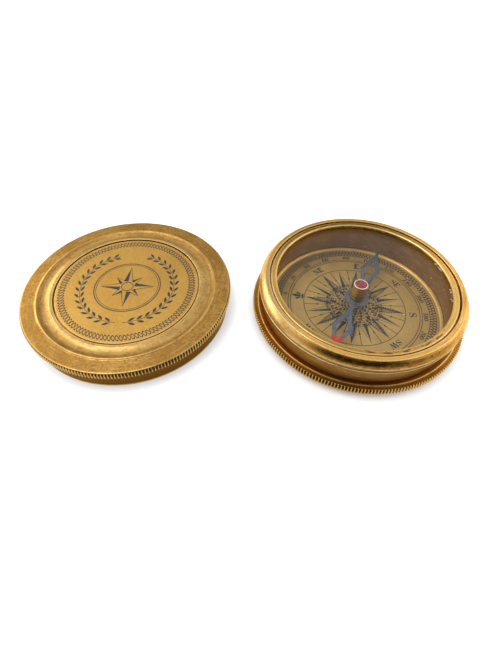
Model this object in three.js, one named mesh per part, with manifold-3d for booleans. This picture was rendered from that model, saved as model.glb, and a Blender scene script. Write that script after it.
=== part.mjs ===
// A brass compass, with its screw-off lid lying beside the case.
// Millimetres, +Z up. The origin is on the axis of the case, at the surface that it stands on.
import * as THREE from 'three';
import { mergeVertices } from 'three/addons/utils/BufferGeometryUtils.js';
import Module from 'manifold-3d';

const wasm = await Module();
wasm.setup();

// Facets round a turned piece
const RING_FACETS = 64;
const SMALL_FACETS = 32;
const BEAD_STEPS = 5;

// Clearances
const FIT_GAP = 0.3; // between turned pieces that go one inside the other
const PRESS_GAP = 0.1; // between small pieces that are pressed together
const LID_PLAY = 0.2; // between the bezel and the lid's skirt when the lid is on
const TIP_CLEARANCE = 1.1; // between the needle's point and the sleeve's foot
const GLASS_CLEARANCE = 0.5; // between the needle's cap and the pane
const PIVOT_GAP = 0.1; // between the pin's point and the jewel's cone

// Case wall
const WALL_RADIUS = 34.4; // outside
const WALL = 1.0;

// Case base
const FLOOR = 1.0;
const FOOT_HEIGHT = 2.0;
const FOOT_INSET = 1.2; // from the knurl's tips in to the foot
const FOOT_CHAMFER = 0.4;
const RIM_HEIGHT = 2.5;
const LIP_WIDTH = 1.07; // the lip round the foot of the wall
const LIP_RISE = 0.2; // from the rim's top up to the lip
const LEDGE_WIDTH = 1.73; // from the lip out to the knurl's tips
const LEDGE_DROP = 0.2; // from the rim's top down to the ledge

// Straight knurl, the same on the base and on the lid
const KNURL_PITCH = 1.05;
const KNURL_DEPTH = 0.4;
const KNURL_ROOT = 1.2; // how deep the toothed ring sits in the rim
const KNURL_SKIN = 0.15; // from the teeth's roots in to the turned rim

// Sleeve and dial
const DIAL_THICK = 0.6;
const SLEEVE_HEIGHT = 11.4;
const SLEEVE_WALL = 1.6;
const SLEEVE_FOOT_WIDTH = 0.6;
const SLEEVE_FOOT_HEIGHT = 0.5;

// Glazing
const GLASS_LAND = 0.4; // the width of sleeve that carries the pane
const GLASS_THICK = 1.4;
const SEAL_THICK = 0.15;
const SEAL_WIDTH = 1.7;
const GLASS_RING_WIDTH = 2.25;
const GLASS_RING_HEIGHT = 0.9;
const GLASS_RING_BEVEL = 0.55; // across the top inner edge
const GLASS_RING_BEVEL_DROP = 0.35;

// Bezel
const BEZEL_WALL = 0.75;
const BEZEL_SKIRT = 1.5; // how far it comes down over the wall
const BEZEL_EDGE = 0.3; // the plain sharp edge below the thread
const THREAD_PITCH = 0.45;
const THREAD_TURNS = 3;
const THREAD_DEPTH = 0.22;
const BEZEL_LIP_WIDTH = 1.53;
const BEZEL_LIP_RISE = 0.25; // above the glass ring
const BEZEL_LIP_STEP = 0.4; // from the lip down to the bead
const BEAD_SHOULDER = 0.2; // from the lip out to the bead

// Needle
const NEEDLE_HEADING = THREE.MathUtils.degToRad(61.8);
const NEEDLE_THICK = 0.4;
const NEEDLE_RISE = 3.8; // above the dial
const HUB_RADIUS = 4.6;
const NECK_HALF = 0.95;
const NECK_LENGTH = 3.4; // from the hub's edge out to where an arm starts to spread
const NECK_WEB = 1.6; // from there out to the loop's window
const LOOP_SPREAD = 7.8; // from the neck's end to a loop's corners
const LOOP_HALF = 3.3; // half the width over a loop's corners
const STRAND = 1.5; // the width of steel at a loop's corners
const LONG_POINT = 5.3; // the solid point beyond the long arm's loop
const POINT_WEB = 2.3; // from the root of the point in to the window
const POINT_ROOT_HALF = 0.65;
const TIP_HALF = 0.15;
const SHORT_SHOULDER = 4.6; // from the corners to the shoulders of the blunt tip
const SHORT_SHOULDER_HALF = 2.1;
const SHORT_TIP = 2.2; // from the shoulders to the tip
const SHORT_TIP_HALF = 0.35;
const SHORT_WEB = 1.6; // the width of steel across the blunt tip

// Cap, jewel and pivot
const CAP_TOP_RADIUS = 2.5;
const CAP_FOOT_RADIUS = 2.85;
const CAP_COLLAR = 0.9; // the plain turned collar at the cap's foot
const CAP_RIM = 0.25; // the rim of brass round the jewel
const SPIGOT_WALL = 0.5;
const SPIGOT_LENGTH = 0.8;
const CAP_BORE_RADIUS = 1.2;
const JEWEL_HEIGHT = 2.9;
const JEWEL_SUNK = 0.05;
const JEWEL_CONE_RADIUS = 1.0;
const JEWEL_CONE_DEPTH = 1.5;
const PIN_RADIUS = 0.5;
const PIN_POINT = 1.7;
const BUSH_RADIUS = 2.2;
const BUSH_RISE = 1.0; // above the dial

// Lid
const LID_SPACING = 8.4; // between the rims of the lid and of the case, along X
const LID_BACK = 3.2; // how far the lid's axis lies behind the axis of the case
const LID_SKIRT_WALL = 0.5;
const LID_SKIRT_DEPTH = 6.1; // below the knurl
const LID_RIM_HEIGHT = 2.35;
const LID_EDGE_DROP = 0.3; // of the bevel above the knurl
const LID_FLAT_WIDTH = 4.85; // from the bevel in to the ridge
const LID_RIDGE_WIDTH = 0.7;
const LID_RIDGE_RISE = 0.3;
const COVE_WIDTH = 3.2; // from the ridge down to the cove's floor
const COVE_DEPTH = 0.6;
const ROLL_WIDTH = 2.1; // the rounded roll between the cove and the plaque
const ROLL_RISE = 0.1; // above the lid's flat
const PLAQUE_RECESS = 0.8; // from the lid's flat down to the plaque's seat
const PLAQUE_THICK = 0.6;
const LID_ROOF = 1.0; // under the plaque

// Radii that follow from these
const wallInner = WALL_RADIUS - WALL;
const baseBore = WALL_RADIUS + FIT_GAP;
const lipRadius = baseBore + LIP_WIDTH;
const rimRadius = lipRadius + LEDGE_WIDTH;
const footRadius = rimRadius - FOOT_INSET;
const sleeveOuter = wallInner - FIT_GAP;
const sleeveInner = sleeveOuter - SLEEVE_WALL;
const sleeveFootInner = sleeveInner - SLEEVE_FOOT_WIDTH;
const dialRadius = sleeveOuter - FIT_GAP;
const glassRadius = sleeveInner + GLASS_LAND;
const bezelBore = glassRadius + FIT_GAP;
const bezelRadius = baseBore + BEZEL_WALL;
const bezelLipRadius = bezelBore + BEZEL_LIP_WIDTH;

// Levels that follow from these
const rimTop = FOOT_HEIGHT + RIM_HEIGHT;
const dialTop = FLOOR + DIAL_THICK;
const seat = dialTop + SLEEVE_HEIGHT; // top of the wall and of the sleeve
const glassTop = seat + GLASS_THICK;
const glassRingFoot = glassTop + SEAL_THICK;
const glassRingTop = glassRingFoot + GLASS_RING_HEIGHT;
const bezelTop = glassRingTop + BEZEL_LIP_RISE;
const needleFoot = dialTop + NEEDLE_RISE;
const needleTop = needleFoot + NEEDLE_THICK;
const capTop = seat - GLASS_CLEARANCE;
const jewelTop = capTop - JEWEL_SUNK;
const jewelFoot = jewelTop - JEWEL_HEIGHT;
const pinTop = jewelFoot + JEWEL_CONE_DEPTH - PIVOT_GAP;
const spigotRadius = CAP_BORE_RADIUS + SPIGOT_WALL;

const brass = { color: 0xa8813c, roughness: 0.34, metalness: 1 };
const darkBrass = { color: 0x7d5f34, roughness: 0.4, metalness: 1 };
const printedBrass = { color: 0xa4854a, roughness: 0.45, metalness: 0.7 };
const capBrass = { color: 0xb98a33, roughness: 0.3, metalness: 1 };
const bluedSteel = { color: 0x545c68, roughness: 0.45, metalness: 0.8 };
const steel = { color: 0xb4b6ba, roughness: 0.25, metalness: 1 };
const redJewel = { color: 0xa8234a, roughness: 0.2, metalness: 0 };
const cement = { color: 0xc9bfa8, roughness: 0.9, metalness: 0 };
const copper = { color: 0x7a4a32, roughness: 0.5, metalness: 0.9 };
const clearGlass = { color: 0xe8eee8, roughness: 0.05, metalness: 0, transparent: true, opacity: 0.25 };

function piece(name, geometry, finish) {
  const mesh = new THREE.Mesh(geometry, new THREE.MeshStandardMaterial(finish));
  mesh.name = name;
  return mesh;
}

function ringProfile(inner, outer, low, high) {
  return [[inner, low], [outer, low], [outer, high], [inner, high]];
}

// A turned solid about Z from an outline of [radius, height] points that runs anticlockwise.
// An outline that starts on the axis ends on it; any other one closes on itself.
function turned(outline, facets = RING_FACETS) {
  const points = outline.map(([radius, height]) => new THREE.Vector2(radius, height));
  const onAxis = outline[0][0] === 0;
  if (!onAxis) points.push(points[0].clone());
  return new THREE.LatheGeometry(points, facets).rotateX(Math.PI / 2);
}

function toManifold(geometry) {
  const bare = geometry.clone();
  bare.deleteAttribute('normal');
  bare.deleteAttribute('uv');
  const merged = mergeVertices(bare, 1e-5);
  const corners = merged.index.array;
  const kept = [];
  for (let i = 0; i < corners.length; i += 3) {
    const [a, b, c] = [corners[i], corners[i + 1], corners[i + 2]];
    if (a !== b && b !== c && c !== a) kept.push(a, b, c);
  }
  const vertProperties = new Float32Array(merged.attributes.position.array);
  return new wasm.Manifold(new wasm.Mesh({ numProp: 3, vertProperties, triVerts: new Uint32Array(kept) }));
}

function fromManifold(solid) {
  const mesh = solid.getMesh();
  const geometry = new THREE.BufferGeometry();
  geometry.setAttribute('position', new THREE.BufferAttribute(new Float32Array(mesh.vertProperties), 3));
  geometry.setIndex(new THREE.BufferAttribute(new Uint32Array(mesh.triVerts), 1));
  geometry.computeVertexNormals();
  return geometry;
}

// The toothed ring of a straight knurl, from one level to another
function knurlRing(low, high) {
  const teeth = Math.round((2 * Math.PI * rimRadius) / KNURL_PITCH);
  const outline = new THREE.Shape();
  for (let i = 0; i < 2 * teeth; i += 1) {
    const radius = i % 2 === 0 ? rimRadius : rimRadius - KNURL_DEPTH;
    const angle = (i * Math.PI) / teeth;
    const corner = [radius * Math.cos(angle), radius * Math.sin(angle)];
    if (i === 0) outline.moveTo(...corner);
    else outline.lineTo(...corner);
  }
  outline.closePath();
  const hole = new THREE.Path();
  hole.absarc(0, 0, rimRadius - KNURL_DEPTH - KNURL_ROOT, 0, 2 * Math.PI, true);
  outline.holes.push(hole);
  const settings = { depth: high - low, bevelEnabled: false, curveSegments: RING_FACETS / 2 };
  return new THREE.ExtrudeGeometry(outline, settings).translate(0, 0, low);
}

function knurled(outline, low, high) {
  const body = toManifold(turned(outline));
  return fromManifold(body.add(toManifold(knurlRing(low, high))));
}

function caseBase() {
  const ledge = rimTop - LEDGE_DROP;
  const lipTop = rimTop + LIP_RISE;
  const band = rimRadius - KNURL_DEPTH - KNURL_SKIN;
  const outline = [
    [0, 0],
    [footRadius - FOOT_CHAMFER, 0],
    [footRadius, FOOT_CHAMFER],
    [footRadius, FOOT_HEIGHT],
    [band, FOOT_HEIGHT + LEDGE_DROP],
    [band, ledge],
    [lipRadius, ledge],
    [lipRadius, lipTop],
    [baseBore, lipTop],
    [baseBore, FLOOR],
    [0, FLOOR],
  ];
  return piece('case_base', knurled(outline, FOOT_HEIGHT, rimTop), brass);
}

function caseWall() {
  return piece('case_wall', turned(ringProfile(wallInner, WALL_RADIUS, FLOOR, seat)), darkBrass);
}

// Down the outside from the top lip: the step, the round bead, the fine thread and the sharp lower edge
function bezel() {
  const foot = seat - BEZEL_SKIRT;
  const threadFoot = foot + BEZEL_EDGE;
  const threadTop = threadFoot + THREAD_TURNS * THREAD_PITCH;
  const beadTop = bezelTop - BEZEL_LIP_STEP;
  const beadInner = bezelLipRadius + BEAD_SHOULDER;
  const outline = [[bezelBore, seat], [baseBore, seat], [baseBore, foot], [bezelRadius, foot]];
  for (let turn = 0; turn < THREAD_TURNS; turn += 1) {
    const low = threadFoot + turn * THREAD_PITCH;
    outline.push([bezelRadius, low], [bezelRadius - THREAD_DEPTH, low + THREAD_PITCH / 2]);
  }
  for (let step = 0; step <= BEAD_STEPS; step += 1) {
    const angle = (step / BEAD_STEPS) * (Math.PI / 2);
    outline.push([
      beadInner + (bezelRadius - beadInner) * Math.cos(angle),
      threadTop + (beadTop - threadTop) * Math.sin(angle),
    ]);
  }
  outline.push([bezelLipRadius, beadTop], [bezelLipRadius, bezelTop], [bezelBore, bezelTop]);
  return piece('bezel', turned(outline), brass);
}

function glass() {
  const outline = [[0, seat], [glassRadius, seat], [glassRadius, glassTop], [0, glassTop]];
  return piece('glass', turned(outline), clearGlass);
}

function glazingSeal() {
  const outline = ringProfile(glassRadius - SEAL_WIDTH, glassRadius, glassTop, glassRingFoot);
  return piece('glazing_seal', turned(outline), cement);
}

function glassRing() {
  const inner = glassRadius - GLASS_RING_WIDTH;
  const outline = [
    [inner, glassRingFoot],
    [glassRadius, glassRingFoot],
    [glassRadius, glassRingTop],
    [inner + GLASS_RING_BEVEL, glassRingTop],
    [inner, glassRingTop - GLASS_RING_BEVEL_DROP],
  ];
  return piece('glass_ring', turned(outline), brass);
}

function sleeve() {
  const footTop = dialTop + SLEEVE_FOOT_HEIGHT;
  const outline = [
    [sleeveFootInner, dialTop],
    [sleeveOuter, dialTop],
    [sleeveOuter, seat],
    [sleeveInner, seat],
    [sleeveInner, footTop],
    [sleeveFootInner, footTop],
  ];
  return piece('sleeve', turned(outline), darkBrass);
}

function dial() {
  const outline = ringProfile(BUSH_RADIUS + FIT_GAP, dialRadius, FLOOR, dialTop);
  return piece('dial', turned(outline), printedBrass);
}

function pivotBush() {
  const outline = ringProfile(PIN_RADIUS + PRESS_GAP, BUSH_RADIUS, FLOOR, dialTop + BUSH_RISE);
  return piece('pivot_bush', turned(outline, SMALL_FACETS), copper);
}

function pivotPin() {
  const outline = [[0, FLOOR], [PIN_RADIUS, FLOOR], [PIN_RADIUS, pinTop - PIN_POINT], [0, pinTop]];
  return piece('pivot_pin', turned(outline, SMALL_FACETS), steel);
}

function drawLoop(path, points) {
  points.forEach(([x, y], i) => (i === 0 ? path.moveTo(x, y) : path.lineTo(x, y)));
  path.closePath();
}

// The needle lies along X, with the long arm on +X and the short one on -X
function needle() {
  const reach = sleeveFootInner - TIP_CLEARANCE;
  const pointRoot = reach - LONG_POINT;
  const neckEnd = HUB_RADIUS + NECK_LENGTH;
  const windowStart = neckEnd + NECK_WEB;
  const corner = neckEnd + LOOP_SPREAD;
  const shoulder = corner + SHORT_SHOULDER;
  const shortTip = shoulder + SHORT_TIP;
  const windowHalf = LOOP_HALF - STRAND;
  const longEdge = [
    [neckEnd, NECK_HALF],
    [corner, LOOP_HALF],
    [pointRoot, POINT_ROOT_HALF],
    [reach, TIP_HALF],
  ];
  const shortEdge = [
    [neckEnd, NECK_HALF],
    [corner, LOOP_HALF],
    [shoulder, SHORT_SHOULDER_HALF],
    [shortTip, SHORT_TIP_HALF],
  ];
  const neckAngle = Math.asin(NECK_HALF / HUB_RADIUS);

  const outline = new THREE.Shape();
  outline.absarc(0, 0, HUB_RADIUS, neckAngle, Math.PI - neckAngle, false);
  shortEdge.forEach(([x, y]) => outline.lineTo(-x, y));
  [...shortEdge].reverse().forEach(([x, y]) => outline.lineTo(-x, -y));
  outline.absarc(0, 0, HUB_RADIUS, Math.PI + neckAngle, 2 * Math.PI - neckAngle, false);
  longEdge.forEach(([x, y]) => outline.lineTo(x, -y));
  [...longEdge].reverse().forEach(([x, y]) => outline.lineTo(x, y));
  outline.closePath();

  const longWindow = new THREE.Path();
  drawLoop(longWindow, [
    [windowStart, 0],
    [corner, windowHalf],
    [pointRoot - POINT_WEB, 0],
    [corner, -windowHalf],
  ]);
  const shortWindow = new THREE.Path();
  drawLoop(shortWindow, [
    [-windowStart, 0],
    [-corner, -windowHalf],
    [SHORT_WEB - shortTip, 0],
    [-corner, windowHalf],
  ]);
  const hole = new THREE.Path();
  hole.absarc(0, 0, spigotRadius + FIT_GAP, 0, 2 * Math.PI, true);
  outline.holes.push(longWindow, shortWindow, hole);

  const settings = { depth: NEEDLE_THICK, bevelEnabled: false, curveSegments: SMALL_FACETS / 2 };
  const geometry = new THREE.ExtrudeGeometry(outline, settings).translate(0, 0, needleFoot);
  return piece('needle', geometry, bluedSteel);
}

// A tapered cap on the needle's hub. A spigot goes down through the hub, and the jewel sits in the top.
function needleCap() {
  const spigotFoot = needleTop - SPIGOT_LENGTH;
  const jewelBore = CAP_TOP_RADIUS - CAP_RIM;
  const outline = [
    [CAP_BORE_RADIUS, spigotFoot],
    [spigotRadius, spigotFoot],
    [spigotRadius, needleTop],
    [CAP_FOOT_RADIUS, needleTop],
    [CAP_FOOT_RADIUS, needleTop + CAP_COLLAR],
    [CAP_TOP_RADIUS, capTop],
    [jewelBore, capTop],
    [jewelBore, jewelFoot],
    [CAP_BORE_RADIUS, jewelFoot],
  ];
  return piece('needle_cap', turned(outline, SMALL_FACETS), capBrass);
}

function capJewel() {
  const radius = CAP_TOP_RADIUS - CAP_RIM - PRESS_GAP;
  const outline = [
    [0, jewelFoot + JEWEL_CONE_DEPTH],
    [JEWEL_CONE_RADIUS, jewelFoot],
    [radius, jewelFoot],
    [radius, jewelTop],
    [0, jewelTop],
  ];
  return piece('cap_jewel', turned(outline, SMALL_FACETS), redJewel);
}

// Radii and levels of the lid, which stands on its skirt
const skirtInner = bezelRadius + LID_PLAY;
const skirtOuter = skirtInner + LID_SKIRT_WALL;
const lidRimTop = LID_SKIRT_DEPTH + LID_RIM_HEIGHT;
const lidFlat = lidRimTop + LID_EDGE_DROP;
const lidBand = rimRadius - KNURL_DEPTH - KNURL_SKIN;
const ridgeOuter = lidBand - LID_FLAT_WIDTH;
const ridgeInner = ridgeOuter - LID_RIDGE_WIDTH;
const coveInner = ridgeInner - COVE_WIDTH;
const plaqueSeatRadius = coveInner - ROLL_WIDTH;
const plaqueSeat = lidFlat - PLAQUE_RECESS;

function lidShell() {
  const roof = plaqueSeat - LID_ROOF;
  const ridgeMiddle = (ridgeOuter + ridgeInner) / 2;
  const coveFloor = lidFlat - COVE_DEPTH;
  const rollTop = lidFlat + ROLL_RISE;
  const outline = [
    [0, roof],
    [skirtInner, roof],
    [skirtInner, 0],
    [skirtOuter, 0],
    [skirtOuter, LID_SKIRT_DEPTH],
    [lidBand, LID_SKIRT_DEPTH + LID_EDGE_DROP],
    [lidBand, lidFlat],
    [ridgeOuter, lidFlat],
    [ridgeMiddle, lidFlat + LID_RIDGE_RISE],
    [ridgeInner, lidFlat],
    [coveInner + COVE_WIDTH / 3, coveFloor],
    [coveInner, coveFloor],
    [coveInner - ROLL_WIDTH / 3, (coveFloor + rollTop) / 2],
    [plaqueSeatRadius + ROLL_WIDTH / 4, rollTop],
    [plaqueSeatRadius, lidFlat],
    [plaqueSeatRadius, plaqueSeat],
    [0, plaqueSeat],
  ];
  return piece('lid_shell', knurled(outline, LID_SKIRT_DEPTH, lidRimTop), brass);
}

function lidPlaque() {
  const radius = plaqueSeatRadius - FIT_GAP;
  const top = plaqueSeat + PLAQUE_THICK;
  const outline = [[0, plaqueSeat], [radius, plaqueSeat], [radius, top], [0, top]];
  return piece('lid_plaque', turned(outline), printedBrass);
}

const compassCase = new THREE.Group();
compassCase.add(caseBase(), caseWall(), bezel(), glass(), glazingSeal(), glassRing());
compassCase.add(sleeve(), dial(), pivotBush(), pivotPin());

const needleGroup = new THREE.Group();
needleGroup.rotation.z = NEEDLE_HEADING;
needleGroup.add(needle(), needleCap(), capJewel());

const lid = new THREE.Group();
lid.position.set(-(2 * rimRadius + LID_SPACING), LID_BACK, 0);
lid.add(lidShell(), lidPlaque());

const compass = new THREE.Group();
compass.add(compassCase, needleGroup, lid);

export default compass;
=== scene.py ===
# The looks of a brass compass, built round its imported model: the open case, and its lid lying beside it.
# Sizes are in millimetres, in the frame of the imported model, and become metres where a mesh is made.
import random
from math import asin, atan2, cos, hypot, pi, radians, sin, sqrt

import bmesh
import bpy
import numpy as np
from mathutils import Matrix, Vector

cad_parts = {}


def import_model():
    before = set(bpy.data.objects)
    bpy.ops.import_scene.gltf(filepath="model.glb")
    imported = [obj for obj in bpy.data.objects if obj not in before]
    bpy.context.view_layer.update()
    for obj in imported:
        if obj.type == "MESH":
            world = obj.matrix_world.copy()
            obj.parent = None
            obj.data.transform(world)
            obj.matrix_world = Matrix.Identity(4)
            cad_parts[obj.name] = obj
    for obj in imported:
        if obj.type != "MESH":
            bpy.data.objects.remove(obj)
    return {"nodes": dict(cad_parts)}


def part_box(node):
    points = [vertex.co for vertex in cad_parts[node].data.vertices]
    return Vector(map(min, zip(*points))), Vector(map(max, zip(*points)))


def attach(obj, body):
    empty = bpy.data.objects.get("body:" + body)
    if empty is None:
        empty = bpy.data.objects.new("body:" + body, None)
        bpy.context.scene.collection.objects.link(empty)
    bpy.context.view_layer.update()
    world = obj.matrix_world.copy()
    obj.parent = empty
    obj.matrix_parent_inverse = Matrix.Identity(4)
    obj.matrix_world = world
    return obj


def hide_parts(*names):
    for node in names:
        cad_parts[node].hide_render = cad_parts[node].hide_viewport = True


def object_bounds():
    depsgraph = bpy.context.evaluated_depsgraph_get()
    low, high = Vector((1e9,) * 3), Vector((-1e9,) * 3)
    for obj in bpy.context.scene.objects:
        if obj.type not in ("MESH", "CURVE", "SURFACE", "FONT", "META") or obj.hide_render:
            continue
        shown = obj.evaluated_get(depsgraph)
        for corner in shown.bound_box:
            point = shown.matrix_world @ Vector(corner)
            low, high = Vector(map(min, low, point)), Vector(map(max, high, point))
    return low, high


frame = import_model()
cad_low, cad_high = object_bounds()

MM = 0.001
chance = random.Random(11)

# How finely pieces are turned
RING_SEGMENTS = 256
SMALL_SEGMENTS = 64
FILLET_STEPS = 4
SUPPORTS = (0.25, 0.7, 1.6)  # extra points of an outline, this far from the ends of its long stretches
SMOOTH_ANGLE = radians(35)
SHORTEST = 1e-9  # no stretch of an outline counts as shorter
ON_AXIS = 1e-7  # metres
WELD = 1e-6  # metres

# Straight knurl on the base and on the lid
KNURL_TEETH = 225
KNURL_DEPTH = 0.5
TOOTH = (0.0, 0.0, 0.5, 1.0, 1.0, 1.0, 1.0, 0.5)  # depth across one tooth and its groove
KNURL_SEGMENTS = KNURL_TEETH * len(TOOTH)

# Wear on outer corners, and dirt with painted shade in inner ones
WEAR_REACH = 0.35
WEAR_GAIN = 1.8
GRIME_AND_SHADE_REACH = 0.22
SHARP_TURN = 0.45  # radians: gentler curves than this within reach get no mark
TIP_WEAR = 0.8  # on the tips of the knurl

# The photograph's camera, from the frame's origin
CAMERA_PLACE = (-43.23, -95.91, 110.98)
CAMERA_PITCH = radians(51.52)
CAMERA_CLIP = 5.0
FOCAL_PIXELS = 389.81
IMAGE_WIDTH = 500
IMAGE_HEIGHT = 650
PRINCIPAL_X = 237.72
PRINCIPAL_Y = 324.5
SENSOR = 36.0


def radius(node):
    low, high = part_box(node)
    return (high.x - low.x) / 2 / MM


def foot(node):
    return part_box(node)[0].z / MM


def top(node):
    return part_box(node)[1].z / MM


def middle(node):
    low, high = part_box(node)
    return ((low + high) / 2).xy / MM


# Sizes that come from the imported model
RIM = radius("case_base")
WALL = radius("case_wall")
BEZEL = radius("bezel")
PANE = radius("glass")
PANE_TOP = top("glass")
SLEEVE = radius("sleeve")
DIAL = radius("dial")
DIAL_TOP = top("dial")
SEAT = top("case_wall")
LIP_TOP = top("case_base")
NEEDLE_FOOT = foot("needle")
NEEDLE_TOP = top("needle")
PLAQUE = radius("lid_plaque")
PLAQUE_TOP = top("lid_plaque")
LID_PLACE = Vector((*middle("lid_plaque"), 0)) * MM
needle_tip = max((v.co for v in frame["nodes"]["needle"].data.vertices), key=lambda p: p.xy.length)
NEEDLE_REACH = needle_tip.xy.length / MM
NEEDLE_HEADING = atan2(needle_tip.y, needle_tip.x)


# Turned pieces

def unit(vector):
    return vector / np.linalg.norm(vector)


def filleted(corners, closed):
    """Corners (radius, height, fillet) as points, with each fillet as a short curve."""
    points = []
    count = len(corners)
    for i, (r, z, fillet) in enumerate(corners):
        here = np.array((r, z), float)
        if fillet == 0 or (not closed and i in (0, count - 1)):
            points.append(here)
            continue
        before = np.array(corners[i - 1][:2], float)
        after = np.array(corners[(i + 1) % count][:2], float)
        start = here + unit(before - here) * fillet
        end = here + unit(after - here) * fillet
        for step in range(FILLET_STEPS + 1):
            t = step / FILLET_STEPS
            points.append((1 - t) ** 2 * start + 2 * t * (1 - t) * here + t * t * end)
    return points


def supported(points, closed):
    """An outline with more points near the ends of long stretches, so that wear fades in them."""
    more = []
    ends = points[1:] + ([points[0]] if closed else [])
    for start, end in zip(points, ends):
        more.append(start)
        length = np.linalg.norm(end - start)
        steps = [s for s in SUPPORTS if 2 * s < length]
        for distance in steps + [length - s for s in reversed(steps)]:
            more.append(start + (end - start) * distance / length)
    if not closed:
        more.append(points[-1])
    return np.array(more)


def corner_marks(outline, closed, reach):
    """How worn outer corners are and how much dirt and painted shade darken inner ones, 0 to 1 at each point
    of an outline.
    """
    ahead = np.roll(outline, -1, axis=0) - outline
    if not closed:
        ahead[-1] = ahead[-2]
    lengths = np.maximum(np.linalg.norm(ahead, axis=1), SHORTEST)
    heading = np.arctan2(ahead[:, 1], ahead[:, 0])
    turn = (heading - np.roll(heading, 1) + np.pi) % (2 * np.pi) - np.pi
    if not closed:
        turn[[0, -1]] = 0
    along = np.concatenate(([0], np.cumsum(lengths)[:-1]))
    apart = np.abs(along[:, None] - along[None, :])
    if closed:
        apart = np.minimum(apart, lengths.sum() - apart)
    wear = np.exp(-apart / reach) @ np.maximum(turn, 0)
    grime_and_shade = np.exp(-apart / GRIME_AND_SHADE_REACH) @ np.maximum(-turn, 0)
    return np.clip(WEAR_GAIN * (wear - SHARP_TURN), 0, 1), np.clip(grime_and_shade - SHARP_TURN, 0, 1)


def knurl_cut(r, tip, band):
    """How deep the knurl is cut and how worn its tips are, from 0 to 1 at each segment and point.
    It is cut in the points near the radius of its tip, fading out over the band."""
    share = np.clip((r - tip + band) / band, 0, 1)
    depth = np.tile(TOOTH, KNURL_TEETH)[:, None]
    return depth * share, TIP_WEAR * (1 - depth) * share


def lattice(segments, count, closed):
    """Quads between neighbouring copies of an outline with this many points."""
    first = np.arange(segments)[:, None] * count
    following = ((np.arange(segments) + 1) % segments)[:, None] * count
    here = np.arange(count if closed else count - 1)[None, :]
    there = (here + 1) % count
    quads = np.stack([first + here, following + here, following + there, first + there], axis=-1)
    return quads.reshape(-1, 4).tolist()


def weld_axis(mesh):
    """Joins the points on the axis, which turns the quads there into triangles."""
    work = bmesh.new()
    work.from_mesh(mesh)
    on_axis = [v for v in work.verts if v.co.xy.length < ON_AXIS]
    bmesh.ops.remove_doubles(work, verts=on_axis, dist=WELD)
    work.to_mesh(mesh)
    work.free()


def turned_mesh(name, corners, segments=RING_SEGMENTS, knurl=None, reach=WEAR_REACH):
    """A closed mesh turned about Z from an anticlockwise outline of (radius, height, fillet) corners.
    An outline that starts on the axis ends on it. A knurl is (tip, band). Edges wear as far as reach."""
    closed = corners[0][0] != 0
    outline = supported(filleted(corners, closed), closed)
    if knurl:
        segments = KNURL_SEGMENTS
    rows = (*outline.T, *corner_marks(outline, closed, reach))
    rings, heights, wear, grime_and_shade = [np.tile(row, (segments, 1)) for row in rows]
    marks = {"wear": wear, "grime_and_shade": grime_and_shade}
    if knurl:
        cut, tip_wear = knurl_cut(outline[:, 0], *knurl)
        rings = rings - KNURL_DEPTH * cut
        marks["wear"] = np.maximum(wear, tip_wear) * (1 - cut)
        marks["groove"] = cut
    angle = (np.arange(segments) * 2 * np.pi / segments)[:, None]
    points = np.stack([rings * np.cos(angle), rings * np.sin(angle), heights], axis=-1)
    mesh = solid(name, points.reshape(-1, 3), lattice(segments, len(outline), closed))
    for mark, values in marks.items():
        data = mesh.attributes.new(mark, "FLOAT", "POINT").data
        data.foreach_set("value", values.astype(np.float32).ravel())
    if not closed:
        weld_axis(mesh)
    mesh.shade_smooth()
    mesh.set_sharp_from_angle(angle=SMOOTH_ANGLE)
    return mesh


def solid(name, points, faces):
    """A mesh from points in millimetres."""
    mesh = bpy.data.meshes.new(name)
    mesh.from_pydata((np.array(points) * MM).tolist(), [], faces)
    return mesh


def add_object(name, data):
    made = bpy.data.objects.new(name, data)
    bpy.context.scene.collection.objects.link(made)
    return made


def place(mesh, name, material, body, slot, node=None, at=(0, 0, 0), turn=0.0):
    """An object: what it is made of, what it rides on and which solid it stands for."""
    piece = add_object(name, mesh)
    piece.location = at
    piece.rotation_euler.z = turn
    mesh.materials.clear()
    mesh.materials.append(material)
    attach(piece, body)
    if node:
        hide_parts(node)


def band(inner, outer, low, high, *fillets):
    """The corners of a plain ring or disc, from the inner foot round to the inner top."""
    places = ((inner, low), (outer, low), (outer, high), (inner, high))
    return [(*place, fillet) for place, fillet in zip(places, fillets)]


def turned(name, corners, material, body, slot, node, at=(0, 0, 0), **shape):
    """A turned piece in place of the solid of a node."""
    place(turned_mesh(name, corners, **shape), name, material, body, slot, node, at)


# Materials

LATHE_RISE = 1.3  # lathe marks run this much faster up a wall than across a face


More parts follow.
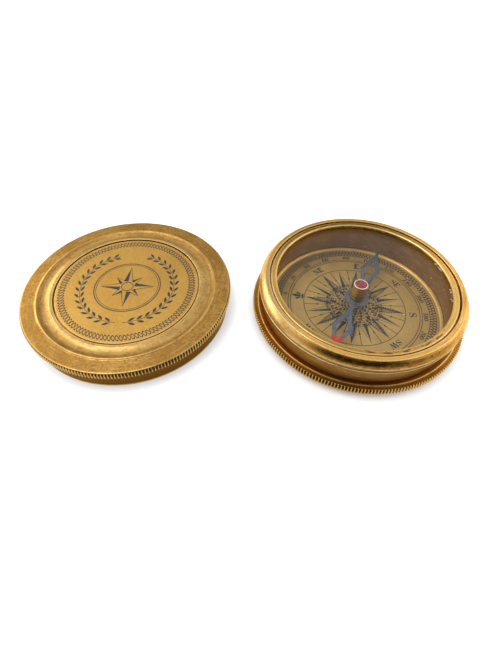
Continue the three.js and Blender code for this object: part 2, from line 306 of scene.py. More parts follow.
class Nodes:
    """A node tree in the making. Most methods add nodes and give back an output."""

    def __init__(self, tree, point):
        self.tree = tree
        self.point = self.node("TexCoord")[point]

    def node(self, kind, inputs=(), **settings):
        """The outputs of a new node, fed with a list of its first inputs or a dict of named ones."""
        made = self.tree.nodes.new("ShaderNode" + kind)
        for key, value in settings.items():
            setattr(made, key, value)
        for key, value in inputs.items() if isinstance(inputs, dict) else enumerate(inputs):
            self.feed(made.inputs[key], value)
        return made.outputs

    def feed(self, socket, value):
        if isinstance(value, bpy.types.NodeSocket):
            self.tree.links.new(value, socket)
        elif socket.type == "RGBA":
            socket.default_value = (*value, 1)
        else:
            socket.default_value = value

    def maths(self, operation, a, b):
        return self.node("Math", [a, b], operation=operation)[0]

    def times(self, a, b):
        return self.maths("MULTIPLY", a, b)

    def plus(self, a, b):
        return self.maths("ADD", a, b)

    def vector(self, operation, *values):
        return self.node("VectorMath", values, operation=operation)

    def noise(self, size, point=None, detail=4.0, rough=0.55):
        """Noise from 0 to 1 with blotches of about this size in millimetres."""
        inputs = {"Vector": point or self.point, "Scale": 1 / (size * MM)}
        return self.node("TexNoise", {**inputs, "Detail": detail, "Roughness": rough})["Fac"]

    def spots(self, size):
        """Distance from the middle of scattered cells of about this size."""
        return self.node("TexVoronoi", {"Vector": self.point, "Scale": 1 / (size * MM)})["Distance"]

    def between(self, value, none, full):
        """A smooth step from 0 at one value to 1 at another, which may be the smaller one."""
        falling = none > full
        inputs = {"Value": value, "From Min": min(none, full), "From Max": max(none, full),
                  "To Min": float(falling), "To Max": float(not falling)}
        return self.node("MapRange", inputs, interpolation_type="SMOOTHSTEP")["Result"]

    def mix(self, factor, a, b):
        return self.node("Mix", {"Factor": factor, "A": a, "B": b}, data_type="RGBA")["Result"]

    def tinted(self, colour, tint, *masks):
        """A colour under a tint, as strong as all the masks together leave it."""
        strength = masks[0]
        for mask in masks[1:]:
            strength = self.times(strength, mask)
        return self.mix(strength, colour, tint)

    def layered(self, colour, layers):
        """A colour under layers of tint, each up to its share where its texture is at full."""
        for texture, none, full, share, tint in layers:
            colour = self.tinted(colour, tint, self.between(texture, none, full), share)
        return colour

    def mark(self, name):
        return self.node("Attribute", attribute_name=name)["Fac"]

    def parts(self, point):
        return self.node("SeparateXYZ", [point])

    def height(self):
        return self.parts(self.point)["Z"]

    def polar(self):
        """Distance from the axis, and the unit vector away from it."""
        flat = self.vector("MULTIPLY", self.point, (1, 1, 0))["Vector"]
        return self.vector("LENGTH", flat)["Value"], self.vector("NORMALIZE", flat)["Vector"]

    def turning(self, spread):
        """A point that runs fast across lathe marks and slowly round the axis."""
        from_axis, away = self.polar()
        across = self.plus(from_axis, self.times(self.height(), LATHE_RISE))
        away = self.parts(away)
        return self.node("CombineXYZ", [across, *(self.times(away[axis], spread * MM) for axis in "XY")])[0]

    def heading(self, degrees, width):
        """1 at this heading about the axis, fading to 0 at that many degrees from it."""
        way = (cos(radians(degrees)), sin(radians(degrees)), 0)
        facing = self.vector("DOT_PRODUCT", self.polar()[1], way)["Value"]
        return self.between(facing, cos(radians(width)), 1.0)


class Surface(Nodes):
    """A material in the making, with its principled shader."""

    def __init__(self, name):
        self.material = bpy.data.materials.new(name)
        self.material.use_nodes = True
        super().__init__(self.material.node_tree, "Object")
        self.shader = self.tree.nodes["Principled BSDF"]

    def set(self, **values):
        for name, value in values.items():
            self.feed(self.shader.inputs[name.replace("_", " ")], value)

    def bump(self, *layers):
        """Bumps from (height, depth in millimetres) layers, laid one over another."""
        normal = None
        for height, depth in layers:
            inputs = {"Height": height, "Distance": depth * MM, "Strength": 1.0}
            if normal:
                inputs["Normal"] = normal
            normal = self.node("Bump", inputs)[0]
        self.set(Normal=normal)


# Dark brown of dirt in pits. The same colour stands for dirt with painted shade in inner corners, and it
# darkens the plaque's side in its seam and the sleeve's foot
DIRT_AND_SHADE = (0.03, 0.014, 0.003)
DIRT_DULLNESS = 0.3
POLISHED = (0.95, 0.68, 0.28)
PALE = (1.0, 0.77, 0.36)
CREAM = (1.0, 0.9, 0.64)
# Near black painted into the knurl grooves: dirt and painted shade
GROOVE = (0.016, 0.007, 0.001)
GLANCING = (1.0, 0.8, 0.5)
LACQUER_ROUGHNESS = 0.25
POLISH_EDGE = 0.6
CEILING_EDGE = 0.4
STAIN = (0.14, 0.026, 0.008)
STAIN_WIDTH = 34  # degrees to each side
STAIN_SHARE = 0.85


def shaded(colour, share):
    return tuple(channel * share for channel in colour)


def with_polish(s, colour, bands, patch, shine):
    for inner, outer, share in bands:
        from_axis = s.polar()[0]
        beyond = s.between(from_axis, inner * MM, (inner + POLISH_EDGE) * MM)
        within = s.between(from_axis, outer * MM, (outer - POLISH_EDGE) * MM)
        colour = s.tinted(colour, shine, beyond, within, s.between(patch, 0.25, 0.6), share)
    return colour


def with_tarnish(s, colour, levels, sides, cloud, patch):
    # Levels darken a piece below a height, or above it where the softness is negative: tarnish on some
    # pieces, painted shade on others
    for level, softness, tint in levels:
        low = s.between(s.height(), (level + softness) * MM, (level - softness) * MM)
        colour = s.tinted(colour, tint, low, s.between(cloud, 0.15, 0.45))
    # Sides are painted light by heading, below a ceiling: painted shade, dark painted reflections and painted
    # highlight tints, as each piece lists them
    for heading, width, ceiling, tint in sides:
        under = s.between(s.height(), ceiling * MM, (ceiling - CEILING_EDGE) * MM)
        colour = s.tinted(colour, tint, s.heading(heading, width), s.between(patch, 0.15, 0.5), under)
    return colour


def with_stain(s, colour, heading):
    blots = s.between(s.noise(0.9, s.turning(9.0), 4, 0.6), 0.55, 0.6)
    facing = s.between(s.heading(heading, STAIN_WIDTH), 0.02, 0.25)
    return s.tinted(colour, STAIN, blots, facing, STAIN_SHARE)


def brass(name, pale, deep, copper, rough, grain=0.3, flecks=0.4, lathe=0.25, wear=0.7, grime_and_shade=0.95,
          shine=POLISHED, lacquer=0.0, knurled=False, polished=(), tarnish_and_shade=(), sides=(), stain_heading=None):
    """Aged brass: clouded between two golds, with coppery patches, grain, flecks, pits, lathe marks and
    bright worn edges, inner corners darkened by dirt and painted shade, and knurl grooves painted near black
    as dirt and painted shade, under some lacquer. It may be polished between radii (inner, outer, share),
    darkened below levels (level, softness, tint), or above them where the softness is negative, with tarnish
    on some pieces and painted shade on others, given painted light on some sides (heading, width, ceiling,
    tint), and stained round a heading."""
    s = Surface(name)
    marks = s.noise(0.2, s.turning(5.0), 3)
    streak = s.noise(0.6, s.turning(4.0), 4, 0.6)
    cloud = s.noise(11.0, detail=5, rough=0.6)
    patch = s.noise(2.6, detail=6, rough=0.7)
    fine = s.noise(0.75, detail=3, rough=0.7)
    fleck = s.noise(1.3, detail=5, rough=0.75)
    pit = s.spots(3.1)
    colour = s.mix(s.between(cloud, 0.38, 0.62), deep, pale)
    colour = s.layered(colour, [
        (patch, 0.52, 0.7, 0.5, copper),
        (fine, 0.42, 0.68, grain, shaded(deep, 0.6)),
        (streak, 0.5, 0.7, lathe, shaded(deep, 0.55)),
        (streak, 0.45, 0.3, lathe, shine),
    ])
    colour = with_polish(s, colour, polished, patch, shine)
    colour = with_tarnish(s, colour, tarnish_and_shade, sides, cloud, patch)
    colour = s.layered(colour, [
        (fleck, 0.56, 0.7, flecks, shaded(copper, 0.45)),
        (marks, 0.45, 0.7, lathe, shaded(deep, 0.7)),
        (pit, 0.085, 0.05, flecks, DIRT_AND_SHADE),
    ])
    if stain_heading is not None:
        colour = with_stain(s, colour, stain_heading)
    colour = s.tinted(colour, shine, s.mark("wear"), s.between(patch, 0.25, 0.5), wear)
    # Inner corners darkened: dirt and painted shade
    dirt_and_shade = s.times(s.mark("grime_and_shade"), grime_and_shade)
    colour = s.tinted(colour, DIRT_AND_SHADE, dirt_and_shade)
    # Knurl grooves painted near black, as deep as they are cut: dirt and painted shade
    if knurled:
        colour = s.tinted(colour, GROOVE, s.mark("groove"))
    gloss = s.plus(rough, s.times(dirt_and_shade, DIRT_DULLNESS))
    for texture, share in ((patch, 0.2), (fine, 0.25), (streak, 0.5 * lathe)):
        gloss = s.plus(gloss, s.times(s.maths("SUBTRACT", texture, 0.5), share))
    s.set(Base_Color=colour, Metallic=1.0, Roughness=gloss, Specular_Tint=GLANCING)
    s.set(Coat_Weight=lacquer, Coat_Roughness=LACQUER_ROUGHNESS)
    s.bump((marks, 0.02 * lathe), (fine, 0.018 * grain), (patch, 0.02))
    return s.material


def dial_brass():
    """Satin brass leaf under lacquer, which scatters more light than bare metal."""
    s = Surface("dial_brass")
    cloud = s.noise(9.0, detail=5, rough=0.6)
    fine = s.noise(0.5, detail=3, rough=0.65)
    marks = s.noise(0.5, s.turning(14.0), 3)
    colour = s.mix(s.between(cloud, 0.35, 0.65), (0.385, 0.232, 0.055), (0.45, 0.283, 0.078))
    colour = s.layered(colour, [
        (fine, 0.45, 0.7, 0.3, (0.33, 0.195, 0.05)),
        (marks, 0.5, 0.7, 0.15, (0.33, 0.2, 0.055)),
    ])
    s.set(Base_Color=colour, Metallic=0.3, Roughness=s.plus(0.34, s.times(fine, 0.2)))
    s.bump((fine, 0.004))
    return s.material


def pane_glass():
    """Clear, faintly tinted glass with low waves in it. Lamps shine through it."""
    s = Surface("pane_glass")
    wave = s.noise(14.0, detail=1)
    s.set(Base_Color=s.mix(wave, (0.985, 0.985, 0.96), (0.96, 0.97, 0.94)))
    s.set(IOR=1.25, Transmission_Weight=1.0, Roughness=0.0)
    clear = s.node("BsdfTransparent")[0]
    shadow = s.node("LightPath")["Is Shadow Ray"]
    blend = s.node("MixShader", [shadow, s.shader.outputs[0], clear])[0]
    s.feed(s.tree.nodes["Material Output"].inputs["Surface"], blend)
    return s.material


INK_FADING = 1.9
INK_DUST = 0.008


def printed_ink(name, shade):
    s = Surface(name)
    wornness = s.noise(0.8, detail=4, rough=0.7)
    faded = tuple(channel * INK_FADING + INK_DUST for channel in shade)
    s.set(Base_Color=s.mix(s.between(wornness, 0.35, 0.75), shade, faded), Roughness=0.6)
    return s.material


PAINT_EDGE = -19.6  # along the needle, where the red paint starts
PAINT_FULL = -20.0
PAINT_RAGGED = 3.4
YELLOWED_REACH = (8.5, 3.0)  # from the hub


def blued_steel():
    """Slate-blue steel, with red paint over the blunt end of the short arm."""
    s = Surface("blued_steel")
    grain = s.noise(0.7, detail=4, rough=0.7)
    cloud = s.noise(3.0, detail=5)
    steel = s.mix(s.between(cloud, 0.35, 0.65), (0.065, 0.086, 0.13), (0.1, 0.125, 0.17))
    steel = s.tinted(steel, (0.3, 0.31, 0.33), s.mark("wear"), 0.5)
    near_hub = s.between(s.polar()[0], *(reach * MM for reach in YELLOWED_REACH))
    steel = s.tinted(steel, (0.15, 0.14, 0.1), near_hub, s.between(cloud, 0.4, 0.65), 0.6)
    paint = s.mix(s.between(grain, 0.42, 0.68), (0.58, 0.004, 0.005), (0.34, 0.004, 0.007))
    ragged = s.times(s.maths("SUBTRACT", grain, 0.5), PAINT_RAGGED * MM)
    red = s.between(s.plus(s.parts(s.point)["X"], ragged), PAINT_EDGE * MM, PAINT_FULL * MM)
    s.set(Base_Color=s.mix(red, steel, paint), Roughness=s.plus(0.36, s.times(grain, 0.25)))
    s.set(Metallic=s.times(s.maths("SUBTRACT", 1.0, red), 0.55))
    s.bump((grain, 0.015))
    return s.material


def jewel_red():
    s = Surface("jewel_red")
    cells = s.spots(1.1)
    depth = s.mix(s.between(cells, 0.1, 0.6), (0.46, 0.007, 0.04), (0.15, 0.004, 0.022))
    s.set(Base_Color=depth, Roughness=0.25)
    s.bump((cells, 0.05))
    return s.material


def ground_steel():
    s = Surface("ground_steel")
    marks = s.noise(0.12, s.turning(3.0), 3)
    s.set(Base_Color=s.mix(marks, (0.32, 0.32, 0.33), (0.6, 0.6, 0.62)), Metallic=1.0, Roughness=0.3)
    s.bump((marks, 0.006))
    return s.material


def chalky(name, pale, dark):
    s = Surface(name)
    lumps = s.noise(0.5, detail=5, rough=0.7)
    s.set(Base_Color=s.mix(s.between(lumps, 0.35, 0.65), dark, pale), Roughness=0.85)
    s.bump((lumps, 0.08))
    return s.material


# The lid's skirt below the knurl is painted darker: painted shade
LID_BRASS = brass(
    "lid_brass", (0.52, 0.285, 0.068), (0.4, 0.205, 0.042), (0.39, 0.172, 0.028), 0.33, grain=0.8, flecks=0.6,
    lacquer=0.1, knurled=True, polished=[(26.4, 30.4, 0.24)], tarnish_and_shade=[(6.15, 0.1, (0.12, 0.042, 0.0))])
PLAQUE_BRASS = brass(
    "plaque_brass", (0.61, 0.355, 0.088), (0.56, 0.315, 0.074), (0.54, 0.29, 0.064), 0.42,
    flecks=0.12, lathe=0.05, wear=0.3, tarnish_and_shade=[(PLAQUE_TOP - 0.15, 0.1, DIRT_AND_SHADE)])
CASE_BRASS = brass(
    "case_brass", (0.62, 0.29, 0.034), (0.5, 0.21, 0.02), (0.47, 0.165, 0.013), 0.36,
    grime_and_shade=0.35, wear=0.9, knurled=True)
# Painted light by heading on the bezel: a cream painted highlight tint on the left, painted shade at the
# front and back, and a dark band low on the front of the bead as a painted reflection. Below the bead it is
# darker over the thread
BEZEL_BRASS = brass(
    "bezel_brass", (0.92, 0.53, 0.13), (0.78, 0.4, 0.078), (0.66, 0.28, 0.042), 0.28, flecks=0.7, lathe=0.85,
    grime_and_shade=0.85, wear=0.65, shine=PALE, lacquer=0.2, tarnish_and_shade=[(13.1, 0.1, (0.22, 0.09, 0.006))],
    sides=[(190, 50, 16.5, (0.6, 0.395, 0.15)), (-95, 45, 16.5, (0.6, 0.33, 0.07)),
           (-84, 56, 15.2, (0.25, 0.102, 0.007)), (92, 80, 16.5, (0.52, 0.27, 0.045))])
# The wall is painted darker towards its foot: painted shade
WALL_BRASS = brass(
    "wall_brass", (0.3, 0.172, 0.056), (0.25, 0.136, 0.038), (0.25, 0.115, 0.025), 0.46,
    grain=0.2, flecks=0.2, tarnish_and_shade=[(5.3, 0.6, (0.16, 0.06, 0.008))])
# The sleeve is darkened at its foot on the dial, and painted darker over its top under the ring: painted
# shade
SLEEVE_BRASS = brass(
    "sleeve_brass", (0.55, 0.325, 0.048), (0.46, 0.255, 0.032), (0.48, 0.235, 0.026), 0.4,
    flecks=0.25, wear=0.6, tarnish_and_shade=[(DIAL_TOP + 0.2, 0.05, DIRT_AND_SHADE), (11.4, -1.6, (0.3, 0.15, 0.014))])
# Painted shade by heading: the ring is darker at the back and at the front-left
RING_BRASS = brass(
    "ring_brass", (0.8, 0.49, 0.14), (0.7, 0.4, 0.095), (0.62, 0.29, 0.055), 0.3, grain=0.2, flecks=0.3,
    sides=[(95, 95, 16.5, (0.16, 0.08, 0.014)), (-112, 85, 16.5, (0.36, 0.2, 0.05))], stain_heading=-72)
# Painted shade by heading: a dark band down the front of the cap, right of its middle
CAP_BRASS = brass(
    "cap_brass", (1.0, 0.7, 0.12), (0.95, 0.6, 0.09), (0.85, 0.5, 0.06), 0.2,
    flecks=0.1, wear=1.0, shine=CREAM, sides=[(-78, 48, 13.0, (0.36, 0.19, 0.02))])
BUSH_COPPER = brass("bush_copper", (0.42, 0.16, 0.07), (0.26, 0.09, 0.04), (0.44, 0.12, 0.04), 0.45)
DIAL_BRASS = dial_brass()
PANE_GLASS = pane_glass()
DIAL_INK = printed_ink("dial_ink", (0.006, 0.008, 0.01))
PLAQUE_INK = printed_ink("plaque_ink", (0.014, 0.0165, 0.019))
BLUED_STEEL = blued_steel()
JEWEL_RED = jewel_red()
PIN_STEEL = ground_steel()
CEMENT = chalky("cement", (0.78, 0.73, 0.63), (0.5, 0.43, 0.32))
DUST = chalky("dust", (0.8, 0.77, 0.7), (0.6, 0.56, 0.48))


# Case

FOOT_INSET = 1.2
FOOT_CHAMFER = 0.4
KNURL_FOOT = 2.0
KNURL_TOP = 4.5
KNURL_BAND = 0.8
KNURL_CHAMFER = 0.3
KNURL_RISE = 0.25
LEDGE = 4.35
LEDGE_FLAT = 0.25
LIP = 35.77
LIP_EDGE = 0.22
LIP_BORE = 34.45
LIP_FALL = 0.45  # from the edge down to the wall
FLOOR = 1.0
WALL_THICKNESS = 1.0


def base():
    foot_radius = RIM - FOOT_INSET
    corners = [
        (0, 0, 0),
        (foot_radius - FOOT_CHAMFER, 0, 0.1),
        (foot_radius, FOOT_CHAMFER, 0.1),
        (foot_radius, KNURL_FOOT, 0.15),
        (RIM - KNURL_CHAMFER, KNURL_FOOT, 0.05),
        (RIM, KNURL_FOOT + KNURL_RISE, 0.1),
        (RIM, KNURL_TOP - KNURL_RISE, 0.1),
        (RIM - KNURL_CHAMFER, KNURL_TOP, 0.08),
        (LIP + LEDGE_FLAT, LEDGE, 0.1),
        (LIP, LEDGE, 0.08),
        (LIP, LIP_TOP, 0.1),
        (LIP - LIP_EDGE, LIP_TOP, 0.05),
        (LIP_BORE, LIP_TOP - LIP_FALL, 0),
        (LIP_BORE, FLOOR, 0),
        (0, FLOOR, 0),
    ]
    turned("base", corners, CASE_BRASS, "case", "case_brass", "case_base", knurl=(RIM, KNURL_BAND))


def wall():
    corners = band(WALL - WALL_THICKNESS, WALL, FLOOR, SEAT, 0, 0.1, 0.1, 0.1)
    turned("wall", corners, WALL_BRASS, "case", "wall_brass", "case_wall")


BEZEL_LIP = 33.73
BEZEL_LIP_WIDTH = 1.53
BEZEL_STEP = 0.3  # from the lip down to the bead
BEZEL_STEP_RISE = 0.02
BEZEL_BORE = 34.7
BEZEL_EDGE = 0.16  # height of the bright lower edge
BEZEL_WAIST = 0.16  # the thread's depth under the bead
BEZEL_REACH = 0.15
THREAD_START = 0.22  # above the bezel's foot
THREAD_PITCH = 0.42
THREAD_TURNS = 3
THREAD_DEPTH = 0.12
THREAD_PHASE = 0.4  # where a groove lies in its turn
THREAD_RUNOUT = 0.3  # of a turn
BEAD_STEPS = 12
BEAD_LOW = radians(22)  # how far the bead's face looks up, at its foot and at its top
BEAD_HIGH = radians(51)


def bezel():
    """Up the outside: the bright lower edge, the fine thread, the round bead, a step and the lip."""
    low, high = foot("bezel"), top("bezel")
    lip_inner = BEZEL_LIP - BEZEL_LIP_WIDTH
    thread_foot = low + THREAD_START
    waist = BEZEL - BEZEL_WAIST
    bead_foot = thread_foot + (THREAD_TURNS + THREAD_RUNOUT) * THREAD_PITCH
    bead_top = high - BEZEL_STEP
    bead_size = (bead_top - bead_foot) / (sin(BEAD_HIGH) - sin(BEAD_LOW))
    corners = [
        (lip_inner, SEAT, 0),
        (BEZEL_BORE, SEAT, 0),
        (BEZEL_BORE, low, 0.08),
        (BEZEL, low, 0.06),
        (BEZEL, low + BEZEL_EDGE, 0.05),
        (waist, thread_foot, 0.04),
    ]
    for turn in range(THREAD_TURNS):
        groove = thread_foot + (turn + THREAD_PHASE) * THREAD_PITCH
        corners.append((waist - THREAD_DEPTH, groove, 0.03))
        corners.append((waist, groove + THREAD_PITCH / 2, 0.05))
    for step in range(BEAD_STEPS + 1):
        angle = BEAD_LOW + (BEAD_HIGH - BEAD_LOW) * step / BEAD_STEPS
        r = BEZEL - bead_size * (cos(BEAD_LOW) - cos(angle))
        z = bead_foot + bead_size * (sin(angle) - sin(BEAD_LOW))
        corners.append((r, z, 0))
    corners += [
        (BEZEL_LIP, bead_top + BEZEL_STEP_RISE, 0.02),
        (BEZEL_LIP, high, 0.2),
        (lip_inner, high, 0.12),
    ]
    turned("bezel_ring", corners, BEZEL_BRASS, "case", "bezel_brass", "bezel", reach=BEZEL_REACH)


RING_GAP = 0.15
RING_INNER = PANE - 2.25
RING_CHAMFER = 0.4
RING_FALL = 0.28
SEAL_INNER = PANE - 1.7


def glazing():
    pane = band(0, PANE, foot("glass"), PANE_TOP, 0, 0.15, 0.15, 0)
    turned("pane", pane, PANE_GLASS, "case", "pane", "glass")

    ring_foot, ring_top = foot("glass_ring"), top("glass_ring")
    outer = PANE - RING_GAP
    ring = [
        (RING_INNER, ring_foot, 0.08),
        (outer, ring_foot, 0),
        (outer, ring_top, 0.45),
        (RING_INNER + RING_CHAMFER, ring_top, 0.15),
        (RING_INNER, ring_top - RING_FALL, 0.1),
    ]
    turned("ring", ring, RING_BRASS, "case", "ring_brass", "glass_ring")

    seal = band(SEAL_INNER, PANE, PANE_TOP, ring_foot, 0.05, 0, 0, 0.05)
    turned("seal", seal, CEMENT, "case", "cement", "glazing_seal")


SLEEVE_THICKNESS = 1.6
SLEEVE_FOOT = 2.75  # how far the foot reaches in from the sleeve's outside
SLEEVE_RISE = 0.75
SLEEVE_EDGE = 0.2
SLEEVE_TOE = 0.25


def sleeve():
    inner, foot_inner = SLEEVE - SLEEVE_THICKNESS, SLEEVE - SLEEVE_FOOT
    foot_edge = DIAL_TOP + SLEEVE_RISE
    corners = [
        (foot_inner, DIAL_TOP, 0),
        (SLEEVE, DIAL_TOP, 0),
        (SLEEVE, SEAT, 0.1),
        (inner, SEAT, 0.1),
        (inner, foot_edge, 0.03),
        (inner - SLEEVE_EDGE, foot_edge, 0.12),
        (foot_inner, DIAL_TOP + SLEEVE_TOE, 0.1),
    ]
    turned("inner_sleeve", corners, SLEEVE_BRASS, "case", "wall_brass", "sleeve")


BUSH = radius("pivot_bush")
BUSH_BORE = 0.6
PIN_POINT = 1.7


def pivot():
    bush = band(BUSH_BORE, BUSH, FLOOR, top("pivot_bush"), 0, 0, 0.35, 0.1)
    turned("bush", bush, BUSH_COPPER, "case", "bush_copper", "pivot_bush", segments=SMALL_SEGMENTS)
    pin_radius, pin_top = radius("pivot_pin"), top("pivot_pin")
    pin = [(0, FLOOR, 0), (pin_radius, FLOOR, 0), (pin_radius, pin_top - PIN_POINT, 0.2), (0, pin_top, 0)]
    turned("pin", pin, PIN_STEEL, "case", "pin_steel", "pivot_pin", segments=SMALL_SEGMENTS)


# Flat prints: closed plates of ink, sunk a little into what carries them

INK_SUNK = 0.02
INK_RISE = 0.02
CIRCLE_STEPS = 240
CURL_STEPS = 12
CURL_WIDTH = 0.2
BEND_STEPS = 9
LEAF_STEPS = 6

THICK = 0.23  # strokes of letters and numbers, in a box one unit tall
THIN = 0.085
ARM = 0.19
LETTER_GAP = 0.1


def oval(x, y, radius_x, radius_y, tilt=0):
    """The two bends of a closed round."""
    return [(x, y, radius_x, radius_y, 90, 270, 180 + tilt), (x, y, radius_x, radius_y, -90, 90, -tilt)]


# Letters and numbers with serifs: how wide each is, then its bars (x, y, to x, to y, width) and its bends
# (middle x, y, radius x, y, from angle, to angle, angle where it is thickest)
GLYPHS = {
    "N": (0.9, [(0.16, 0, 0.16, 1, THIN), (0.12, 1, 0.76, 0, THICK), (0.76, 0, 0.76, 1, THIN),
                (0, 0, 0.32, 0, THIN), (0, 1, 0.2, 1, THIN), (0.6, 1, 0.92, 1, THIN)], []),
    "E": (0.74, [(0.18, 0, 0.18, 1, THICK), (0, 0.96, 0.68, 0.96, ARM), (0.18, 0.52, 0.52, 0.52, ARM),
                 (0, 0.04, 0.72, 0.04, ARM), (0.66, 0.72, 0.66, 1, THIN), (0.7, 0, 0.7, 0.28, THIN)], []),
    "S": (0.76, [(0.64, 0.72, 0.64, 1, THIN), (0.1, 0, 0.1, 0.28, THIN)],
          [(0.36, 0.75, 0.26, 0.23, 15, 285, 240), (0.4, 0.26, 0.29, 0.24, 105, -165, 60)]),
    "W": (1.2, [(0.1, 1, 0.38, 0, THICK), (0.38, 0, 0.62, 1, THIN), (0.58, 1, 0.86, 0, THICK),
                (0.86, 0, 1.1, 1, THIN), (-0.04, 1, 0.26, 1, THIN), (0.44, 1, 0.74, 1, THIN),
                (0.98, 1, 1.22, 1, THIN)], []),
    "0": (0.62, [], oval(0.31, 0.5, 0.23, 0.46)),
    "1": (0.42, [(0.22, 0, 0.22, 1, THICK), (0.02, 0, 0.42, 0, THIN), (0.03, 0.82, 0.22, 1, THIN)], []),
    "2": (0.6, [(0.5, 0.62, 0.08, 0.06, 0.11), (0.06, 0.05, 0.54, 0.05, 0.13), (0.54, 0, 0.54, 0.24, THIN)],
          [(0.29, 0.72, 0.21, 0.26, 165, -25, 0)]),
    "3": (0.58, [], [(0.27, 0.74, 0.2, 0.23, 150, -90, 0), (0.27, 0.26, 0.24, 0.25, 90, -150, 0)]),
    "4": (0.62, [(0.42, 0, 0.42, 1, THICK), (0.42, 1, 0.04, 0.28, THIN), (0.04, 0.28, 0.6, 0.28, THIN),
                 (0.26, 0, 0.58, 0, THIN)], []),
    "6": (0.6, [], [(0.4, 0.35, 0.31, 0.61, 70, 180, 170), *oval(0.31, 0.29, 0.22, 0.27)]),
    "8": (0.6, [], oval(0.3, 0.74, 0.18, 0.22, 20) + oval(0.3, 0.27, 0.22, 0.25)),
}


def bar_outline(x, y, to_x, to_y, width):
    length = hypot(to_x - x, to_y - y)
    off_x, off_y = (y - to_y) * width / length / 2, (to_x - x) * width / length / 2
    start = [(x + off_x, y + off_y), (x - off_x, y - off_y)]
    return start + [(to_x - off_x, to_y - off_y), (to_x + off_x, to_y + off_y)]


def arc_outline(x, y, radius_x, radius_y, start, end, heavy):
    outer, inner = [], []
    for i in range(BEND_STEPS + 1):
        angle = radians(start + (end - start) * i / BEND_STEPS)
        half = (THIN + (THICK - THIN) * max(0.0, cos(angle - radians(heavy)))) / 2
        c, s = cos(angle), sin(angle)
        outer.append((x + (radius_x + half) * c, y + (radius_y + half) * s))
        inner.append((x + (radius_x - half) * c, y + (radius_y - half) * s))
    return outer + inner[::-1]


def leaf(start, end, half):
    """An almond-shaped outline from one distance out to another."""
    along = [i / LEAF_STEPS for i in range(LEAF_STEPS + 1)]
    edge = [(start + (end - start) * t, half * sin(pi * t)) for t in along]
    return edge + [(out, -side) for out, side in reversed(edge[1:-1])]


def spun(points, angle, at=(0, 0)):
    """Points turned by an angle in radians, then moved."""
    c, s = cos(angle), sin(angle)
    return [(at[0] + x * c - y * s, at[1] + x * s + y * c) for x, y in points]


class Print:
    """A drawing on a flat face, gathered as polygons and made into one mesh."""

    def __init__(self):
        self.points = []
        self.faces = []

    def shape(self, outline):
        """A closed polygon of (x, y) points, as a thin plate."""
        area = sum(a[0] * b[1] - b[0] * a[1] for a, b in zip(outline, outline[1:] + outline[:1]))
        ordered = list(outline) if area > 0 else list(reversed(outline))
        count, first = len(ordered), len(self.points)
        self.points += [(x, y, -INK_SUNK) for x, y in ordered]
        self.points += [(x, y, INK_RISE) for x, y in ordered]
        self.faces.append([first + count + i for i in range(count)])
        self.faces.append([first + i for i in reversed(range(count))])
        for i in range(count):
            j = (i + 1) % count
            self.faces.append([first + i, first + j, first + count + j, first + count + i])

    def ring(self, r, width, steps=CIRCLE_STEPS, centre=(0.0, 0.0)):
        """A closed circle of this width."""
        first = len(self.points)
        inner, outer = r - width / 2, r + width / 2
        for i in range(steps):
            near, far = spun([(inner, 0), (outer, 0)], i * 2 * pi / steps, centre)
            self.points += [(*near, -INK_SUNK), (*far, -INK_SUNK), (*far, INK_RISE), (*near, INK_RISE)]
        for i in range(steps):
            a, b = first + 4 * i, first + 4 * ((i + 1) % steps)
            for k in range(4):
                m = (k + 1) % 4
                self.faces.append([a + k, a + m, b + m, b + k])

    def stamp(self, heading, outline):
        """A polygon of (outward, sideways) points, turned to a heading in degrees."""
        self.shape(spun(outline, radians(heading)))

    def line(self, heading, inner, outer, width):
        half = width / 2
        self.stamp(heading, [(inner, -half), (outer, -half), (outer, half), (inner, half)])

    def curl(self, heading, out, side, size):
        """A small circle, out along a heading and off to its side."""
        self.ring(size, CURL_WIDTH, CURL_STEPS, spun([(out, side)], radians(heading))[0])

    def sprig(self, heading, out, side, angle, length, half):
        """A leaf from out along a heading and off to its side, at an angle to that heading."""
        self.stamp(heading, spun(leaf(0, length, half), radians(angle), (out, side)))

    def words(self, text, heading, r, height, stretch=1.0):
        """Letters with their tops outward, centred at a radius and a heading."""
        x = -(sum(GLYPHS[letter][0] for letter in text) + LETTER_GAP * (len(text) - 1)) / 2
        for letter in text:
            advance, bars, arcs = GLYPHS[letter]
            for stroke in [bar_outline(*bar) for bar in bars] + [arc_outline(*bend) for bend in arcs]:
                outline = [(r + (b - 0.5) * height, -(x + a) * height * stretch) for a, b in stroke]
                self.stamp(heading, outline)
            x += advance + LETTER_GAP

    def mesh(self, name, level):
        return solid(name, [(x, y, z + level) for x, y, z in self.points], self.faces)


NORTH = 166.6  # heading of the dial's north, in degrees from +X
DIAL_CLEARANCE = 0.3  # round the bush
ROSE = 18.55
HAIR = 0.23
RULE = 0.26
LETTER_RING = 21.15
LETTER_HEIGHT = 2.6
LETTER_STRETCH = 1.15
SMALL_HEIGHT = 2.3
DOUBLE_RING = 23.6
DOUBLE_GAP = 0.85
NUMBER_RING = 25.72
NUMBER_HEIGHT = 1.6
NUMBER_STRETCH = 1.25
NUMBER_STEP = 20
SCALE_INNER = 27.1
SCALE_MIDDLE = 28.2
SCALE_OUTER = 29.3
SCALE_BOXES = 144
SCALE_BAR = 0.46
SCALE_RING = 0.2

